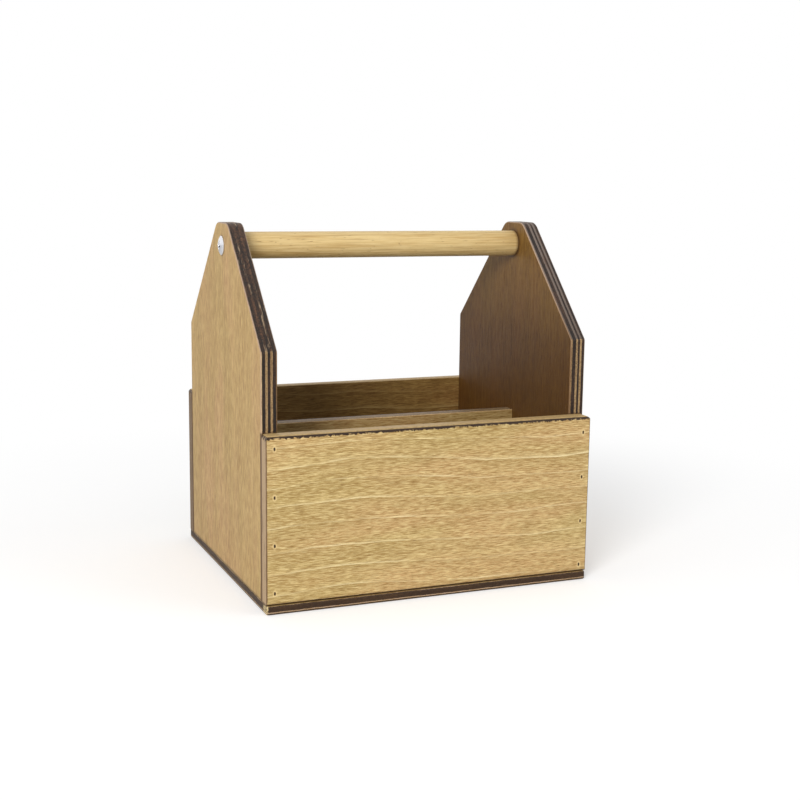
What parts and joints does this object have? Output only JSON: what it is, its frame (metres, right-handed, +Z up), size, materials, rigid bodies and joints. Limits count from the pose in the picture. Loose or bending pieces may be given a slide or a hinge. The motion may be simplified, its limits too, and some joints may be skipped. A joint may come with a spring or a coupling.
{
  "type": "condiment caddy",
  "caption": "Open plywood condiment caddy with house-shaped gable ends, pinned front and back panels, a low middle divider and a screwed round handle.",
  "frame": {"origin": "middle of the bottom board's underside, on the tabletop", "axes": "+Z up; -Y towards the front panel; +X along the handle, towards the right gable end"},
  "size_m": [0.2448, 0.21, 0.253],
  "materials": {
    "gable_plywood": "golden-brown stained plywood, vertical grain, dark plies on the cut edges, satin",
    "panel_plywood": "golden-brown stained plywood, grain lengthwise, dark plies on the cut edges, satin",
    "base_plywood": "stained thin plywood with a dark core, satin",
    "divider_plywood": "golden-brown stained plywood, grain lengthwise, satin",
    "handle_wood": "golden-brown stained hardwood dowel, satin",
    "screw_zinc": "bright zinc-plated steel, glossy",
    "pin_steel": "dark steel, stained over"
  },
  "bodies": {
    "root": {"gable_left": "gable_plywood", "gable_right": "gable_plywood", "front_panel": "panel_plywood", "back_panel": "panel_plywood", "bottom_board": "base_plywood", "middle_divider": "divider_plywood", "handle_dowel": "handle_wood", "handle_screw_left": "screw_zinc", "handle_screw_right": "screw_zinc", "front_panel_pins_left": "pin_steel", "front_panel_pins_right": "pin_steel", "back_panel_pins_left": "pin_steel", "back_panel_pins_right": "pin_steel", "base_pins_left": "pin_steel", "base_pins_right": "pin_steel", "base_pins_front": "pin_steel", "base_pins_back": "pin_steel", "divider_pins": "pin_steel"}
  },
  "joints": []
}
